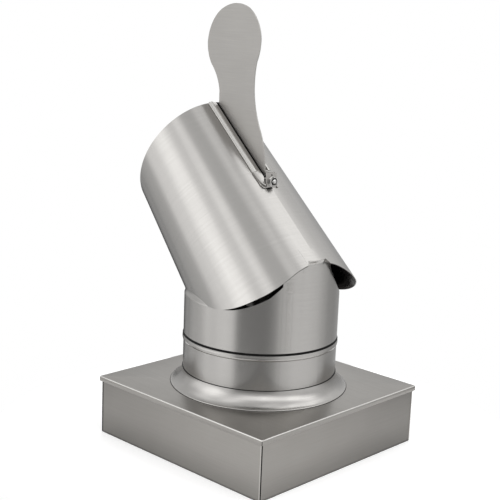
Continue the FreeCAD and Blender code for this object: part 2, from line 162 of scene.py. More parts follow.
def brushed_finish_group():
    """Brushed sheet: fine scratches across Z of the given vector, soft bands, and the normal they give."""
    group = bpy.data.node_groups.new("brushed_finish", "ShaderNodeTree")
    group_sockets(
        group,
        [("Vector", "NodeSocketVector", None),
         ("Light Colour", "NodeSocketColor", TUBE_STEEL),
         ("Dark Colour", "NodeSocketColor", TUBE_STEEL_DARK),
         ("Scratch Pitch", "NodeSocketFloat", 700.0),
         ("Scratch Run", "NodeSocketFloat", 18.0),
         ("Band Pitch", "NodeSocketFloat", 14.0),
         ("Band Run", "NodeSocketFloat", 14.0),
         ("Roughness Low", "NodeSocketFloat", 0.26),
         ("Roughness High", "NodeSocketFloat", 0.42),
         ("Relief", "NodeSocketFloat", 0.25)],
        [("Colour", "NodeSocketColor"), ("Roughness", "NodeSocketFloat"), ("Normal", "NodeSocketVector")])
    given = add_node(group, "NodeGroupInput").outputs
    result = add_node(group, "NodeGroupOutput")
    scratches = stretched_noise(group, given["Vector"], given["Scratch Run"], given["Scratch Pitch"], 3.0)
    bands = stretched_noise(group, given["Vector"], given["Band Pitch"], given["Band Run"], 2.0)
    mixed = add_node(group, "ShaderNodeMix", data_type="FLOAT")
    mixed.inputs["Factor"].default_value = BAND_SHARE
    link(group, scratches, mixed.inputs["A"])
    link(group, bands, mixed.inputs["B"])
    spread = add_node(group, "ShaderNodeMapRange")
    spread.inputs["From Min"].default_value, spread.inputs["From Max"].default_value = NOISE_RANGE
    link(group, mixed.outputs["Result"], spread.inputs["Value"])
    colour = add_node(group, "ShaderNodeMix", data_type="RGBA")
    link(group, spread.outputs["Result"], colour.inputs["Factor"])
    link(group, given["Dark Colour"], colour.inputs["A"])
    link(group, given["Light Colour"], colour.inputs["B"])
    link(group, colour.outputs["Result"], result.inputs["Colour"])
    rough = add_node(group, "ShaderNodeMapRange")
    link(group, spread.outputs["Result"], rough.inputs["Value"])
    link(group, given["Roughness High"], rough.inputs["To Min"])
    link(group, given["Roughness Low"], rough.inputs["To Max"])
    link(group, rough.outputs["Result"], result.inputs["Roughness"])
    bump = add_node(group, "ShaderNodeBump")
    bump.inputs["Distance"].default_value = SCRATCH_DEPTH
    link(group, given["Relief"], bump.inputs["Strength"])
    link(group, scratches, bump.inputs["Height"])
    link(group, bump.outputs["Normal"], result.inputs["Normal"])
    return group


def outer_face_group():
    """1 on the outside of a sheet tube about the vector's Z, 0 within the given radius."""
    group = bpy.data.node_groups.new("outer_face", "ShaderNodeTree")
    group_sockets(
        group,
        [("Vector", "NodeSocketVector", None),
         ("Radius", "NodeSocketFloat", TUBE_R),
         ("Taper", "NodeSocketFloat", 0.0)],
        [("Mask", "NodeSocketFloat")])
    given = add_node(group, "NodeGroupInput").outputs
    result = add_node(group, "NodeGroupOutput")
    flat = add_node(group, "ShaderNodeVectorMath", operation="MULTIPLY")
    flat.inputs[1].default_value = (1.0, 1.0, 0.0)
    link(group, given["Vector"], flat.inputs[0])
    away = add_node(group, "ShaderNodeVectorMath", operation="LENGTH")
    link(group, flat.outputs["Vector"], away.inputs[0])
    height = add_node(group, "ShaderNodeSeparateXYZ")
    link(group, given["Vector"], height.inputs["Vector"])
    narrowing = add_math(group, "MULTIPLY", height.outputs["Z"], given["Taper"])
    limit = add_math(group, "SUBTRACT", given["Radius"], narrowing)
    link(group, add_math(group, "GREATER_THAN", away.outputs["Value"], limit), result.inputs["Mask"])
    return group


def foot_shade_group():
    """Painted shade on the box: darker towards its foot and away from its front corner."""
    group = bpy.data.node_groups.new("foot_shade", "ShaderNodeTree")
    group_sockets(group, [("Vector", "NodeSocketVector", None)], [("Shade", "NodeSocketFloat")])
    given = add_node(group, "NodeGroupInput").outputs
    result = add_node(group, "NodeGroupOutput")
    parts = add_node(group, "ShaderNodeSeparateXYZ")
    link(group, given["Vector"], parts.inputs["Vector"])
    ahead = add_math(group, "SUBTRACT", parts.outputs["X"], parts.outputs["Y"])
    height = parts.outputs["Z"]
    total = 1.0
    # What the shade goes by, the distance at which it has cleared, and the share of light left at none
    for value, clear_at, darkest in ((ahead, 0.26, 0.76), (height, 0.042, 0.80), (height, 0.0035, 0.50)):
        ramp = add_node(group, "ShaderNodeMapRange", interpolation_type="SMOOTHSTEP")
        ramp.inputs["From Max"].default_value = clear_at
        ramp.inputs["To Min"].default_value = darkest
        link(group, value, ramp.inputs["Value"])
        total = add_math(group, "MULTIPLY", ramp.outputs["Result"], total)
    link(group, total, result.inputs["Shade"])
    return group


BRUSHED = brushed_finish_group()
OUTER_FACE = outer_face_group()
FOOT_SHADE = foot_shade_group()


def brushed_material(name, light, dark, turn=(0.0, 0.0, 0.0), along=(0.0, 0.0, 1.0), anisotropic=0.0,
                     tube=None, foot=False, **values):
    """Brushed metal whose scratches run across the local Z that turn gives; highlights stretch along it.

    tube: height of its centre, radius and taper of a sheet tube whose inside is painted near black as shade.
    foot: whether painted shade darkens the finish towards the foot of the box and away from its front
    corner.
    values: inputs of the brushed finish, by their names in small letters.
    """
    material = bpy.data.materials.new(name)
    material.use_nodes = True
    tree = material.node_tree
    shader = tree.nodes["Principled BSDF"]
    shader.inputs["Metallic"].default_value = 1.0
    shader.inputs["Anisotropic"].default_value = anisotropic
    place = add_node(tree, "ShaderNodeTexCoord")
    mapping = add_node(tree, "ShaderNodeMapping", vector_type="TEXTURE")
    mapping.inputs["Rotation"].default_value = turn
    link(tree, place.outputs["Object"], mapping.inputs["Vector"])
    finish = add_node(tree, "ShaderNodeGroup", node_tree=BRUSHED)
    finish.inputs["Light Colour"].default_value = light
    finish.inputs["Dark Colour"].default_value = dark
    for label, value in values.items():
        finish.inputs[label.replace("_", " ").title()].default_value = value
    link(tree, mapping.outputs["Vector"], finish.inputs["Vector"])
    colour = finish.outputs["Colour"]
    if tube:
        centre, radius, taper = tube
        mapping.inputs["Location"].default_value = (0.0, 0.0, centre)
        outer = add_node(tree, "ShaderNodeGroup", node_tree=OUTER_FACE)
        outer.inputs["Radius"].default_value = radius
        outer.inputs["Taper"].default_value = taper
        link(tree, mapping.outputs["Vector"], outer.inputs["Vector"])
        # Painted shade: within the tube's outer face the colour turns near black
        side = add_node(tree, "ShaderNodeMix", data_type="RGBA")
        side.inputs["A"].default_value = PAINTED_INSIDE_SHADE
        link(tree, outer.outputs["Mask"], side.inputs["Factor"])
        link(tree, colour, side.inputs["B"])
        colour = side.outputs["Result"]
    # Painted shade: the box's colour darkened towards its foot and away from its front corner
    if foot:
        shade = add_node(tree, "ShaderNodeGroup", node_tree=FOOT_SHADE)
        link(tree, place.outputs["Object"], shade.inputs["Vector"])
        darker = add_node(tree, "ShaderNodeMix", data_type="RGBA", blend_type="MULTIPLY")
        darker.inputs["Factor"].default_value = 1.0
        link(tree, colour, darker.inputs["A"])
        link(tree, shade.outputs["Shade"], darker.inputs["B"])
        colour = darker.outputs["Result"]
    link(tree, colour, shader.inputs["Base Color"])
    link(tree, finish.outputs["Roughness"], shader.inputs["Roughness"])
    link(tree, finish.outputs["Normal"], shader.inputs["Normal"])
    if anisotropic:
        direction = add_node(tree, "ShaderNodeVectorTransform", vector_type="VECTOR", convert_from="OBJECT",
                             convert_to="WORLD")
        direction.inputs["Vector"].default_value = along
        link(tree, direction.outputs["Vector"], shader.inputs["Tangent"])
    return material


SIDEWAYS = (math.radians(90.0), 0.0, 0.0)
ALONG_HOOD = HOOD_TURN.to_euler()

BOX_FINISH = brushed_material("box_brushed", BOX_STEEL, BOX_STEEL_DARK, anisotropic=0.3, foot=True,
                              scratch_pitch=1500.0, roughness_low=0.34, roughness_high=0.42, relief=0.06)
LID_FINISH = brushed_material("lid_brushed", BOX_STEEL, BOX_STEEL_DARK, turn=SIDEWAYS, scratch_pitch=1500.0,
                              roughness_low=0.30, roughness_high=0.38, relief=0.1)
TUBE_FINISH = brushed_material("tube_brushed", TUBE_STEEL, TUBE_STEEL_DARK, anisotropic=0.6,
                               tube=(0.0, TUBE_R - SHEET / 2.0, 0.0), **TUBE_GRAIN, **LONG_STREAKS)
HOOD_FINISH = brushed_material("hood_brushed", TUBE_STEEL, TUBE_STEEL_DARK, turn=ALONG_HOOD, along=HOOD_AXIS,
                               anisotropic=0.6, tube=(HOOD_CROSS_Z, HOOD_R - SHEET / 2.0, HOOD_TAPER),
                               **TUBE_GRAIN, **LONG_STREAKS)
WELD_FINISH = brushed_material("weld_brushed", TUBE_STEEL, TUBE_STEEL_DARK, anisotropic=0.6, **TUBE_GRAIN)
RAIL_HIGHLIGHT_FINISH = brushed_material("rail_painted_highlight", RAIL_HIGHLIGHT_STEEL, RAIL_HIGHLIGHT_STEEL_DARK, turn=ALONG_HOOD,
                               scratch_pitch=2400.0, roughness_low=0.26, roughness_high=0.32, relief=0.03)
VANE_FINISH = brushed_material("vane_satin", VANE_STEEL, VANE_STEEL_DARK, scratch_pitch=900.0,
                               roughness_low=0.42, roughness_high=0.5, relief=0.06)
EDGE_HIGHLIGHT_FINISH = brushed_material("edge_painted_highlight", EDGE_HIGHLIGHT_STEEL, EDGE_HIGHLIGHT_STEEL,
                               roughness_low=0.22, roughness_high=0.28, relief=0.0)
LAP_HIGHLIGHT_FINISH = brushed_material("lap_painted_highlight", LAP_HIGHLIGHT_STEEL, LAP_HIGHLIGHT_STEEL,
                              roughness_low=0.34, roughness_high=0.42, relief=0.0)
GAP_SHADE_FINISH = brushed_material("gap_painted_shade", GAP_SHADE_BLACK, GAP_SHADE_BLACK,
                              roughness_low=0.6, roughness_high=0.6, relief=0.0)
BAR_FINISH = brushed_material("bar_mill", BAR_STEEL, BAR_STEEL_DARK, roughness_low=0.35, roughness_high=0.5)
BOLT_FINISH = brushed_material("bolt_bright", BOLT_STEEL, BOLT_STEEL_DARK, scratch_pitch=1500.0,
                               roughness_low=0.18, roughness_high=0.26, relief=0.05)
BRONZE_FINISH = brushed_material("bearing_bronze", BRONZE, BRONZE_DARK,
                                 roughness_low=0.3, roughness_high=0.45)

NODE_FINISH = {
    "base_skirt": BOX_FINISH, "lid_plate": LID_FINISH, "stub_tube": TUBE_FINISH, "storm_collar": TUBE_FINISH,
    "sleeve": TUBE_FINISH, "hood": HOOD_FINISH, "vane": VANE_FINISH, "near_rail": HOOD_FINISH,
    "far_rail": HOOD_FINISH, "vane_lug": VANE_FINISH, "vane_inner_angle": BAR_FINISH,
    "spindle_bridge": BAR_FINISH, "lower_hub_bar": BAR_FINISH, "upper_hub_bar": BAR_FINISH,
    "hub_tube": BAR_FINISH, "spindle": BOLT_FINISH, "spindle_lower_nut": BOLT_FINISH,
    "spindle_upper_nut": BOLT_FINISH, "top_lock_nut": BOLT_FINISH, "vane_bolt": BOLT_FINISH,
    "vane_bolt_nut": BOLT_FINISH, "vane_bolt_washer": BOLT_FINISH, "thrust_ring": BRONZE_FINISH,
    "lower_bush": BRONZE_FINISH, "upper_bush": BRONZE_FINISH,
}


def finish_frame():
    for name, material in NODE_FINISH.items():
        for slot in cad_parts[name].material_slots:
            slot.material = material


# Shapes

# What the added pieces are made of: material and the name of its slot
LID = (LID_FINISH, "box_sheet")
LAP_HIGHLIGHT = (LAP_HIGHLIGHT_FINISH, "box_sheet")
# Painted shade: near-black strips for the gaps on box, tubes and fasteners
BOX_GAP_SHADE = (GAP_SHADE_FINISH, "box_sheet")
TUBE = (TUBE_FINISH, "tube_sheet")
WELD = (WELD_FINISH, "tube_sheet")
RAIL_HIGHLIGHT_EDGE = (RAIL_HIGHLIGHT_FINISH, "tube_sheet")
TUBE_GAP_SHADE = (GAP_SHADE_FINISH, "tube_sheet")
FASTENER = (BOLT_FINISH, "fastener")
FASTENER_GAP_SHADE = (GAP_SHADE_FINISH, "fastener")


def new_piece(name, body, finish, points, faces, sharp=40.0):
    """Closed mesh piece that rides a body; edges sharper than the given angle stay sharp."""
    material, slot_name = finish
    mesh = bpy.data.meshes.new(name)
    mesh.from_pydata(points, [], faces)
    shell = bmesh.new()
    shell.from_mesh(mesh)
    bmesh.ops.recalc_face_normals(shell, faces=shell.faces)
    shell.to_mesh(mesh)
    shell.free()
    mesh.shade_smooth()
    mesh.set_sharp_from_angle(angle=math.radians(sharp))
    mesh.materials.append(material)
    piece = bpy.data.objects.new(name, mesh)
    bpy.context.scene.collection.objects.link(piece)
    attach(piece, body)
    return piece


def on_circle(radius, angle, height):
    """Point on a level circle about Z."""
    return radius * math.cos(angle), radius * math.sin(angle), height


def turned(x, y, z, angle):
    """Point turned about Z."""
    return x * math.cos(angle) - y * math.sin(angle), x * math.sin(angle) + y * math.cos(angle), z


def ring_faces(rings, around, closed_profile=True):
    """Quads between rings of points, each ring closed on itself."""
    faces = []
    for k in range(rings if closed_profile else rings - 1):
        here, there = k * around, (k + 1) % rings * around
        for i in range(around):
            j = (i + 1) % around
            faces.append((here + i, here + j, there + j, there + i))
    return faces


def lathe(name, body, finish, profile, around=144, sharp=40.0):
    """Ring with the given closed profile: radius, height."""
    angles = [2.0 * math.pi * i / around for i in range(around)]
    points = [on_circle(radius, angle, height) for radius, height in profile for angle in angles]
    return new_piece(name, body, finish, points, ring_faces(len(profile), around), sharp)


def loft(name, body, finish, rows, sharp=40.0):
    """Solid skin: rows of points round closed sections, with both ends filled."""
    around = len(rows[0])
    points = [point for row in rows for point in row]
    faces = ring_faces(len(rows), around, closed_profile=False)
    faces.append(tuple(range(around)))
    faces.append(tuple(range((len(rows) - 1) * around, len(rows) * around)))
    new_piece(name, body, finish, points, faces, sharp)


def smooth_step(share):
    share = min(1.0, max(0.0, share))
    return share * share * (3.0 - 2.0 * share)


# Fixed pieces

def make_collar():
    """Flared collar, a thin curved sheet from the tube out to its rim on the lid, and near-black rings of
    painted shade at its top and foot seams.
    """
    inner = TUBE_R + SEAT
    spread = COLLAR_R - SHEET - inner
    rise = COLLAR_TOP - COLLAR_FOOT - SHEET
    roundness, crowding, steps = 1.6, 1.5, 26
    over = []
    for k in range(steps + 1):
        out = (k / steps) ** crowding
        up = 1.0 - (1.0 - (1.0 - out) ** roundness) ** (1.0 / roundness)
        over.append((inner + SHEET + out * spread, COLLAR_FOOT + SHEET + up * rise))
    lip = [(COLLAR_R - 0.25 * MM, COLLAR_FOOT + 0.95 * SHEET), (COLLAR_R, COLLAR_FOOT + 0.6 * SHEET),
           (COLLAR_R, COLLAR_FOOT + 0.2 * SHEET), (COLLAR_R - 0.3 * MM, COLLAR_FOOT)]
    under = [(r - SHEET, z - SHEET) for r, z in over[::-1]]
    under[-1] = (inner, COLLAR_TOP - SHEET)
    profile = [(inner, COLLAR_TOP)] + over[:-1] + lip + under
    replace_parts(lathe("flared_collar", "base", TUBE, profile, sharp=50.0), "storm_collar")

    # Painted shade: near-black rings where the collar meets the tube and the lid
    proud = TUBE_R + 1.05 * MM
    lathe("collar_top_seam_shade", "base", TUBE_GAP_SHADE,
          [(TUBE_R - SUNK, COLLAR_TOP - 1.2 * MM), (proud, COLLAR_TOP - 0.4 * MM),
           (proud, COLLAR_TOP + 0.1 * MM), (TUBE_R - SUNK, COLLAR_TOP + 0.9 * MM)])
    foot_inner, foot_top = COLLAR_R - 2.0 * MM, LID_TOP + 0.12 * MM
    lathe("collar_foot_seam_shade", "base", BOX_GAP_SHADE,
          [(foot_inner, LID_TOP - SUNK), (COLLAR_R + 0.55 * MM, LID_TOP - SUNK),
           (COLLAR_R + 0.5 * MM, foot_top), (foot_inner, foot_top)])


def square_ring(half, corner_r, notch, height, per_side=14, per_corner=6):
    """Points round a square with rounded corners; notch pulls each corner's middle point inward."""
    points = []
    for quarter in range(4):
        flat = [(half, -(half - corner_r) + 2.0 * (half - corner_r) * i / per_side) for i in range(per_side)]
        arc = []
        for i in range(per_corner + 1):
            angle = math.pi / 2.0 * i / per_corner
            pull = notch if i == per_corner // 2 else 0.0
            arc.append((half - corner_r + (corner_r - pull) * math.cos(angle),
                        half - corner_r + (corner_r - pull) * math.sin(angle)))
        points += [turned(x, y, height, quarter * math.pi / 2.0) for x, y in flat + arc]
    return points


def make_lid():
    """Lid with rolled edges painted bright as a highlight, its folded lips parted at the corners."""
    hole = TUBE_R + SEAT
    bend, bend_steps = 1.6 * MM, 5
    corner, inner_corner = 1.4 * MM, 0.8 * MM
    parting, parting_per_step = 1.1 * MM, 0.12 * MM
    lip_edge = 0.4 * MM
    rings = [square_ring(LID_HALF - bend, corner, 0.0, LID_TOP)]
    rings.insert(0, [(hole * x / math.hypot(x, y), hole * y / math.hypot(x, y), z) for x, y, z in rings[0]])
    for k in range(1, bend_steps + 1):
        angle = math.pi / 2.0 * k / bend_steps
        rings.append(square_ring(LID_HALF - bend + bend * math.sin(angle), corner, parting_per_step * k,
                                 LID_TOP - bend + bend * math.cos(angle)))
    rings.append(square_ring(LID_HALF, corner, parting, LID_FOOT + lip_edge))
    rings.append(square_ring(LID_HALF - lip_edge, corner, parting, LID_FOOT))
    rings.append(square_ring(LID_HALF - SHEET, inner_corner, 0.0, LID_FOOT))
    rings.append(square_ring(LID_HALF - SHEET, inner_corner, 0.0, LID_TOP - SHEET))
    rings.append([(x, y, LID_TOP - SHEET) for x, y, z in rings[0]])
    points = [point for ring in rings for point in ring]
    lid = new_piece("rolled_lid", "base", LID, points, ring_faces(len(rings), len(rings[0])), sharp=50.0)
    lid.data.materials.append(EDGE_HIGHLIGHT_FINISH)
    # Painted highlight: the faces of the rolled edge take the bright edge colour
    steepest, flattest = 0.2, 0.97
    for face in lid.data.polygons:
        if face.center.z > LID_TOP - bend and steepest < face.normal.z < flattest:
            face.material_index = 1
    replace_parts(lid, "lid_plate")


def make_bead():
    """Rolled bead, half round, and over it a near-black band of painted shade in the groove."""
    middle, half_height, bulge = BEAD_TOP - 5.6 * MM, 3.6 * MM, 1.35 * MM
    steps = 16
    inner = TUBE_R - SUNK
    profile = [(inner, middle + half_height), (inner, middle - half_height)]
    for k in range(steps + 1):
        angle = math.pi * (k / steps - 0.5)
        profile.append((TUBE_R + bulge * math.cos(angle), middle + half_height * math.sin(angle)))
    lathe("rolled_bead", "base", WELD, profile, sharp=60.0)
    # Painted shade: near-black band over the groove above the bead
    band_foot, band_r = BEAD_TOP - 1.9 * MM, TUBE_R + 0.14 * MM
    lathe("groove_shade_band", "base", TUBE_GAP_SHADE,
          [(inner, band_foot), (TUBE_R + 1.15 * MM, band_foot), (band_r, BEAD_TOP),
           (band_r, BEAD_TOP + 0.85 * MM), (inner, BEAD_TOP + 0.9 * MM)])


BLOCK_FACES = [(3, 2, 1, 0), (4, 5, 6, 7), (0, 1, 5, 4), (1, 2, 6, 5), (2, 3, 7, 6), (3, 0, 4, 7)]


def block_points(low, high, turn):
    """Corners of an upright block, turned about Z."""
    corners = ((low[0], low[1]), (high[0], low[1]), (high[0], high[1]), (low[0], high[1]))
    return [turned(x, y, z, turn) for z in (low[2], high[2]) for x, y in corners]


def blocks_at_corners(name, finish, blocks):
    """The blocks, given at one corner of the box, at each of its four corners."""
    points, faces = [], []
    for quarter in range(4):
        for low, high in blocks:
            start = len(points)
            points += block_points(low, high, quarter * math.pi / 2.0)
            faces += [tuple(start + i for i in face) for face in BLOCK_FACES]
    new_piece(name, "base", finish, points, faces, sharp=30.0)


def make_corner_seams():
    """At each corner of the box the lapped edge of one side painted bright as a highlight, a near-black
    strip of painted shade in the gap beside it, and the same in the lid's notch.
    """
    half, foot, top = SKIRT_HALF, 0.4 * MM, LID_FOOT - 0.3 * MM
    seam_width = 1.7 * MM
    lap_proud, gap_proud = 0.25 * MM, 0.12 * MM
    lap = ((half - seam_width, -half - lap_proud, foot), (half - 0.1 * MM, -half + 0.4 * MM, top))
    gap = ((half - SUNK, -half - 0.1 * MM, foot), (half + gap_proud, -half + seam_width, top))
    notch_out, notch_in = LID_HALF - 0.35 * MM, LID_HALF - 1.9 * MM
    notch = ((notch_in, -notch_out, LID_FOOT + 0.2 * MM), (notch_out, -notch_in, LID_TOP - 1.4 * MM))
    # Painted highlight on the laps, painted shade in the gaps and the lid's notch
    blocks_at_corners("corner_laps", LAP_HIGHLIGHT, [lap])
    blocks_at_corners("corner_gap_shades", BOX_GAP_SHADE, [gap, notch])


# Lap seams of the tubes

def rung_row_nodes():
    """Row of low raised rungs between two points, each a little different in size."""
    group = bpy.data.node_groups.new("rung_row", "GeometryNodeTree")
    group_sockets(
        group,
        [("Foot", "NodeSocketVector", None),
         ("Head", "NodeSocketVector", None),
         ("Turn", "NodeSocketVector", None),
         ("Rung Size", "NodeSocketVector", None),
         ("Count", "NodeSocketInt", 20),
         ("Seed", "NodeSocketInt", 3),
         ("Finish", "NodeSocketMaterial", None)],
        [("Geometry", "NodeSocketGeometry")])
    given = add_node(group, "NodeGroupInput").outputs
    result = add_node(group, "NodeGroupOutput")
    row = add_node(group, "GeometryNodeMeshLine", mode="END_POINTS")
    link(group, given["Count"], row.inputs["Count"])
    link(group, given["Foot"], row.inputs["Start Location"])
    link(group, given["Head"], row.inputs["Offset"])
    rung = add_node(group, "GeometryNodeMeshUVSphere")
    rung.inputs["Segments"].default_value = 10
    rung.inputs["Rings"].default_value = 6
    rung.inputs["Radius"].default_value = 1.0
    vary = add_node(group, "FunctionNodeRandomValue", data_type="FLOAT_VECTOR")
    vary.inputs["Min"].default_value = (0.8, 0.7, 0.7)
    vary.inputs["Max"].default_value = (1.0, 1.1, 1.1)
    link(group, given["Seed"], vary.inputs["Seed"])
    size = add_node(group, "ShaderNodeVectorMath", operation="MULTIPLY")
    link(group, given["Rung Size"], size.inputs[0])
    link(group, vary.outputs["Value"], size.inputs[1])
    place = add_node(group, "GeometryNodeInstanceOnPoints")
    link(group, row.outputs["Mesh"], place.inputs["Points"])
    link(group, rung.outputs["Mesh"], place.inputs["Instance"])
    link(group, given["Turn"], place.inputs["Rotation"])
    link(group, size.outputs["Vector"], place.inputs["Scale"])
    real = add_node(group, "GeometryNodeRealizeInstances")
    link(group, place.outputs["Instances"], real.inputs["Geometry"])
    paint = add_node(group, "GeometryNodeSetMaterial")
    link(group, real.outputs["Geometry"], paint.inputs["Geometry"])
    link(group, given["Finish"], paint.inputs["Material"])
    link(group, paint.outputs["Geometry"], result.inputs["Geometry"])
    return group


def make_rungs(group, name, body, finish, values):
    """Piece from the rung row's nodes, with its inputs set by name."""
    material, slot_name = finish
    piece = bpy.data.objects.new(name, bpy.data.meshes.new(name + "_start"))
    bpy.context.scene.collection.objects.link(piece)
    modifier = piece.modifiers.new("rungs", "NODES")
    modifier.node_group = group
    sockets = {item.name: item.identifier for item in group.interface.items_tree
               if item.item_type == "SOCKET" and item.in_out == "INPUT"}
    for label, value in list(values.items()) + [("Finish", material)]:
        modifier[sockets[label]] = value
    bpy.context.view_layer.update()
    built = piece.evaluated_get(bpy.context.evaluated_depsgraph_get())
    mesh = bpy.data.meshes.new_from_object(built)
    piece.modifiers.clear()
    piece.data = mesh
    mesh.name = name
    mesh.shade_smooth()
    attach(piece, body)


def make_lap(name, body, radius, foot, head, bearing, width):
    """Thin lapped strip up a tube, its free edge at the bearing."""
    outer, inner, steps = radius + 0.28 * MM, radius - 0.4 * MM, 8
    angles = [bearing - width * i / steps for i in range(steps + 1)]
    rows = []
    for height in (foot, head):
        points = [on_circle(outer, a, height) for a in angles]
        points += [on_circle(inner, a, height) for a in angles[::-1]]
        rows.append([Vector(point) for point in points])
    loft(name, body, TUBE, rows, sharp=30.0)


def make_lap_seams():
    """Lapped strips up sleeve and stub tube, and the row of rungs beside the sleeve's free edge."""
    free_edge, width = math.radians(-23.3), math.radians(9.0)
    lap_top, rungs_top = 243.0 * MM, 238.0 * MM
    make_lap("sleeve_lap", "head", SLEEVE_R, SLEEVE_FOOT + 0.6 * MM, lap_top, free_edge, width)
    make_lap("stub_lap", "base", TUBE_R, COLLAR_TOP + 0.3 * MM, BEAD_TOP - 7.4 * MM, free_edge, width)
    middle = math.radians(-27.2)
    foot = Vector(on_circle(SLEEVE_R + 0.2 * MM, middle, SLEEVE_FOOT + 4.0 * MM))
    head = Vector((foot.x, foot.y, rungs_top))
    make_rungs(rung_row_nodes(), "lap_rungs", "head", TUBE,
               {"Foot": foot, "Head": head, "Turn": (0.0, 0.0, middle), "Count": 40, "Seed": 3,
                "Rung Size": (0.55 * MM, 5.6 * MM, 0.5 * MM)})


# Pieces of the head

def in_head(x, y, z):
    """World point of a point given in the head's own frame, metres."""
    return Matrix.Rotation(HEAD_TURN, 3, "Z") @ Vector((x, y, z))


def within_hood(point, proud):
    """Whether a point of the head's frame is inside the hood's outer surface, raised by proud."""
    axis = Vector((-math.sin(HOOD_TILT), 0.0, math.cos(HOOD_TILT)))
    arm = point - Vector((0.0, 0.0, HOOD_CROSS_Z))
    along = arm.dot(axis)
    return (arm - along * axis).length < HOOD_R + proud - HOOD_TAPER * along


def reach(start, direction, proud):
    """Distance from start, along direction, at which the hood's outer surface lies."""
    low, high, halvings = 0.0, 0.2, 36
    for _ in range(halvings):
        middle = (low + high) / 2.0
        if within_hood(start + middle * direction, proud):
            low = middle
        else:
            high = middle
    return low


def hood_reach(angle, height, proud):
    """Radius at which the hood's outer surface lies, at a bearing and height in the head's frame."""
    return reach(Vector((0.0, 0.0, height)), Vector((math.cos(angle), math.sin(angle), 0.0)), proud)


def make_peak_weld():
    """Smooth saddle where the hood turns down into the sleeve's tall tongue, and the rim beside it."""
    rim_half, saddle_half, saddle_fade = 17.9 * MM, 14.0 * MM, 1.2 * MM
    skin_top, crease_middle, crease_end = 277.0 * MM, 265.4 * MM, 260.7 * MM
    across, skin_steps, crowding = 36, 9, 1.2
    proud = 0.1 * MM
    ahead = Vector((1.0, 0.0, 0.0))
    # Share of the way out from the tongue to the hood, and millimetres under the crease
    turn_down = [(0.985, 0.3), (0.93, 0.8), (0.83, 1.4), (0.69, 2.2), (0.53, 3.1), (0.37, 4.1), (0.23, 5.2),
                 (0.12, 6.4), (0.05, 7.7), (0.015, 9.0), (0.0, 10.4)]
    rows = []
    for k in range(across + 1):
        y = rim_half * (2.0 * k / across - 1.0)
        beyond = max(0.0, abs(y) - saddle_half) / (rim_half - saddle_half)
        crease = crease_middle + beyond * (crease_end - crease_middle)
        width = 1.0 - smooth_step((abs(y) - saddle_half + saddle_fade / 2.0) / saddle_fade)
        tongue_x = math.sqrt((SLEEVE_R + proud) ** 2 - y * y)
        over = []
        for i in range(skin_steps):
            height = crease + (skin_top - crease) * (1.0 - i / (skin_steps - 0.5)) ** crowding
            over.append((reach(Vector((0.0, y, height)), ahead, proud), height))
        brow_x = reach(Vector((0.0, y, crease)), ahead, proud)
        for share, drop in turn_down:
            over.append((tongue_x + width * share * (brow_x - tongue_x), crease - drop * MM))
        inner = [(x - 1.0 * MM, height - 0.6 * MM) for x, height in over[::-1]]
        rows.append([in_head(x, y, z) for x, z in over + inner])
    loft("peak_weld", "head", WELD, rows, sharp=50.0)


def make_seam_weld(name, side):
    """Fillet that turns in from the sleeve's edge to the hood, on one side of the head."""
    start, end, steps = math.radians(73.0), math.radians(139.0), 60
    edge_r = SLEEVE_R + 0.08 * MM
    edge_z = SLEEVE_TOP - 0.2 * MM
    hood_proud, thickness = 0.06 * MM, 1.0 * MM
    least_rise, rise_for_gap, rise_steps = 0.8 * MM, 1.3, 12
    rows = []
    for k in range(steps + 1):
        angle = side * (start + (end - start) * k / steps)
        gap = max(0.0, edge_r - hood_reach(angle, SLEEVE_TOP, hood_proud))
        rise = least_rise + rise_for_gap * gap
        over = [(edge_r - 0.02 * MM, edge_z - 0.7 * MM), (edge_r, edge_z)]
        for i in range(1, rise_steps + 1):
            height = edge_z + rise * i / rise_steps
            target = hood_reach(angle, height, hood_proud)
            over.append((edge_r + (target - edge_r) * smooth_step(i / rise_steps), height))
        inner = [(radius - thickness, height) for radius, height in over[::-1]]
        rows.append([in_head(*on_circle(radius, angle, height)) for radius, height in over + inner])
    loft(name, "head", WELD, rows, sharp=60.0)


def beside_ridge(y, along, proud):
    """World point over the hood, y beside its middle plane, along its axis, proud of its surface."""
    radius = HOOD_R + proud - HOOD_TAPER * along
    height = math.sqrt(radius * radius - y * y)
    x = -along * math.sin(HOOD_TILT) + height * math.cos(HOOD_TILT)
    z = HOOD_CROSS_Z + along * math.cos(HOOD_TILT) + height * math.sin(HOOD_TILT)
    return in_head(x, y, z)


def ridge_loft(name, finish, sections, sharp):
    """Solid along the hood's ridge, all in millimetres.

    sections: place along the hood's axis, and points beside its middle plane and proud of its surface.
    """
    rows = [[beside_ridge(y * MM, along * MM, proud * MM) for y, proud in section]
            for along, section in sections]
    loft(name, "head", finish, rows, sharp)


def ridge_strip(name, finish, section, start, end, steps=12):
    """Strip of one section along the hood's ridge, in millimetres."""
    sections = [(start + (end - start) * k / steps, section) for k in range(steps + 1)]
    ridge_loft(name, finish, sections, sharp=50.0)


